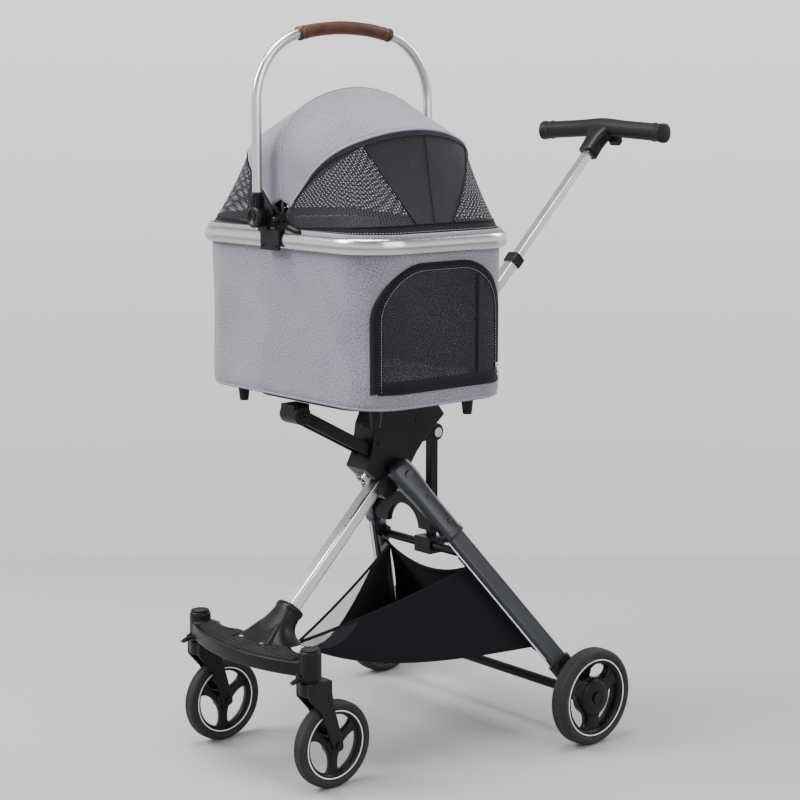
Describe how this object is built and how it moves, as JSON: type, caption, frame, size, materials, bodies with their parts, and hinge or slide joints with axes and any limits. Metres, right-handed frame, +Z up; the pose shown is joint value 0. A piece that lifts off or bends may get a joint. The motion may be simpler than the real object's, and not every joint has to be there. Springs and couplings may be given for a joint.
{
  "type": "pet stroller",
  "caption": "Folding pet stroller with a central-pole chassis, swivel casters, T handle and a lift-off soft carrier with hooped canopy.",
  "frame": {"origin": "on the ground under the centre of the bounding box", "axes": "+X to the left side of a person pushing, -Y is the front of the stroller, +Z up"},
  "size_m": [0.632, 0.942, 1.3113],
  "materials": {
    "tyre": "matt rubber, fine moulding lines",
    "rubber": "ribbed, matt",
    "satin_aluminium": "satin anodised",
    "brown_leather": "smooth tan-brown, stitched",
    "slate_paint": "dark slate, satin",
    "bright_steel": "plated, bright",
    "grey_cloth": "heathered woven polyester",
    "black_mesh": "open knitted mesh and plain black cloth",
    "white_trim": "smooth white ring",
    "black_board": "stiffening board",
    "black_plastic": "fine moulded grain"
  },
  "bodies": {
    "chassis": {"hub_casting": "black_plastic", "front_pole": "satin_aluminium", "front_plate": "black_plastic", "plate_tread": "rubber", "plate_screws": "bright_steel", "leg_pivot_bolt": "bright_steel", "strut_pin": "bright_steel", "seat_arm": "slate_paint", "seat_tray": "black_plastic", "storage_basket": "black_mesh"},
    "rear_frame": {"left_leg_sleeve": "slate_paint", "left_leg_tube": "slate_paint", "left_axle_bracket": "black_plastic", "right_leg_sleeve": "slate_paint", "right_leg_tube": "slate_paint", "right_axle_bracket": "black_plastic", "rear_axle_tube": "slate_paint", "rear_axles": "bright_steel", "cross_brace": "black_plastic", "leg_yoke": "black_plastic"},
    "strut": {"fold_strut": "slate_paint"},
    "latch": {"latch_lever": "bright_steel"},
    "tube": {"outer_tube": "satin_aluminium", "tube_collar": "black_plastic"},
    "handle": {"inner_tube": "satin_aluminium", "handle_bar": "black_plastic"},
    "trigger": {"handle_trigger": "black_plastic"},
    "release": {"release_lever": "black_plastic"},
    "carrier": {"carrier_shell": "grey_cloth", "carrier_board": "black_board", "carrier_cushion": "grey_cloth", "carrier_feet": "black_plastic", "rim_tube": "satin_aluminium", "bow_brackets": "black_plastic", "rear_hoop": "bright_steel", "canopy_hood": "grey_cloth", "canopy_meshes": "black_mesh"},
    "bow": {"bow_handle": "satin_aluminium", "bow_grip": "brown_leather"},
    "mid_hoop_frame": {"mid_hoop": "bright_steel"},
    "front_hoop_frame": {"front_hoop": "bright_steel"},
    "door": {"mesh_door": "black_mesh"},
    "left_caster": {"left_caster_stem": "bright_steel", "left_caster_fork": "black_plastic", "left_front_axle": "bright_steel"},
    "left_front_wheel": {"left_front_rim": "black_plastic", "left_front_tyre": "tyre"},
    "left_rear_wheel": {"left_rear_rim": "black_plastic", "left_rear_tyre": "tyre"},
    "left_lock": {"left_swivel_lock": "black_plastic"},
    "left_brake": {"left_brake_pedal": "black_plastic"},
    "right_caster": {"right_caster_stem": "bright_steel", "right_caster_fork": "black_plastic", "right_front_axle": "bright_steel"},
    "right_front_wheel": {"right_front_rim": "black_plastic", "right_front_tyre": "tyre"},
    "right_rear_wheel": {"right_rear_rim": "black_plastic", "right_rear_tyre": "tyre"},
    "right_lock": {"right_swivel_lock": "black_plastic"},
    "right_brake": {"right_brake_pedal": "black_plastic"}
  },
  "joints": [
    {"name": "frame_fold", "type": "hinge", "parent": "chassis", "child": "rear_frame", "pos_m": [0, -0.107, 0.5], "axis": [-1, 0, 0], "range_deg": [0, 45], "deforming": ["storage_basket"]},
    {"name": "strut_swing", "type": "hinge", "parent": "chassis", "child": "strut", "pos_m": [0, 0.004, 0.56], "axis": [-1, 0, 0], "range_deg": [0, 30]},
    {"name": "latch_press", "type": "hinge", "parent": "rear_frame", "child": "latch", "pos_m": [0, 0.012, 0.338], "axis": [-1, 0, 0], "range_deg": [0, 20], "stiffness_Nm_per_rad": 0.6, "springref_deg": -5.73},
    {"name": "tube_slide", "type": "slide", "parent": "chassis", "child": "tube", "axis": [0, -0.7071, -0.7071], "range_m": [0, 0.2]},
    {"name": "handle_slide", "type": "slide", "parent": "tube", "child": "handle", "axis": [0, -0.7071, -0.7071], "range_m": [0, 0.23]},
    {"name": "trigger_squeeze", "type": "hinge", "parent": "handle", "child": "trigger", "pos_m": [0.03, 0.4545, 1.106], "axis": [1, 0, 0], "range_deg": [0, 12], "stiffness_Nm_per_rad": 0.5, "springref_deg": -5.73},
    {"name": "carrier_release", "type": "hinge", "parent": "chassis", "child": "release", "pos_m": [0.085, -0.213, 0.638], "axis": [1, 0, 0], "range_deg": [0, 20], "stiffness_Nm_per_rad": 0.5, "springref_deg": -5.73},
    {"name": "carrier_lift", "type": "slide", "parent": "chassis", "child": "carrier", "axis": [0, 0, 1], "range_m": [0, 0.3]},
    {"name": "bow_swing", "type": "hinge", "parent": "carrier", "child": "bow", "pos_m": [-0.02, -0.185, 0.976], "axis": [0, 1, 0], "range_deg": [-90, 90]},
    {"name": "front_hoop_fold", "type": "hinge", "parent": "carrier", "child": "front_hoop_frame", "pos_m": [0.015, -0.185, 0.973], "axis": [0, 1, 0], "range_deg": [-61, 0], "deforming": ["canopy_hood", "canopy_meshes"]},
    {"name": "mid_hoop_fold", "type": "hinge", "parent": "carrier", "child": "mid_hoop_frame", "pos_m": [0.015, -0.185, 0.973], "axis": [0, 1, 0], "range_deg": [-30, 0]},
    {"name": "door_drop", "type": "hinge", "parent": "carrier", "child": "door", "pos_m": [0.2546, -0.185, 0.69], "axis": [0, 1, 0], "range_deg": [0, 110]},
    {"name": "left_caster_swivel", "type": "hinge", "parent": "chassis", "child": "left_caster", "pos_m": [0.164, -0.414, 0.22], "axis": [0, 0, 1], "continuous": true},
    {"name": "left_front_wheel_spin", "type": "hinge", "parent": "left_caster", "child": "left_front_wheel", "pos_m": [0.164, -0.368, 0.0775], "axis": [1, 0, 0], "continuous": true},
    {"name": "left_lock_lift", "type": "hinge", "parent": "chassis", "child": "left_lock", "pos_m": [0.164, -0.437, 0.207], "axis": [-1, 0, 0], "range_deg": [0, 18]},
    {"name": "left_rear_wheel_spin", "type": "hinge", "parent": "rear_frame", "child": "left_rear_wheel", "pos_m": [0.297, 0.134, 0.09], "axis": [1, 0, 0], "continuous": true},
    {"name": "left_brake_press", "type": "hinge", "parent": "rear_frame", "child": "left_brake", "pos_m": [0.26, 0.152, 0.128], "axis": [-1, 0, 0], "range_deg": [0, 14]},
    {"name": "right_caster_swivel", "type": "hinge", "parent": "chassis", "child": "right_caster", "pos_m": [-0.164, -0.414, 0.22], "axis": [0, 0, 1], "continuous": true},
    {"name": "right_front_wheel_spin", "type": "hinge", "parent": "right_caster", "child": "right_front_wheel", "pos_m": [-0.164, -0.368, 0.0775], "axis": [1, 0, 0], "continuous": true},
    {"name": "right_lock_lift", "type": "hinge", "parent": "chassis", "child": "right_lock", "pos_m": [-0.164, -0.437, 0.207], "axis": [-1, 0, 0], "range_deg": [0, 18]},
    {"name": "right_rear_wheel_spin", "type": "hinge", "parent": "rear_frame", "child": "right_rear_wheel", "pos_m": [-0.297, 0.134, 0.09], "axis": [1, 0, 0], "continuous": true},
    {"name": "right_brake_press", "type": "hinge", "parent": "rear_frame", "child": "right_brake", "pos_m": [-0.26, 0.152, 0.128], "axis": [-1, 0, 0], "range_deg": [0, 14]}
  ],
  "couplings": [
    {"joint": "strut_swing", "follows": "frame_fold", "ratio": 0.66},
    {"joint": "mid_hoop_fold", "follows": "front_hoop_fold", "ratio": 0.49}
  ]
}
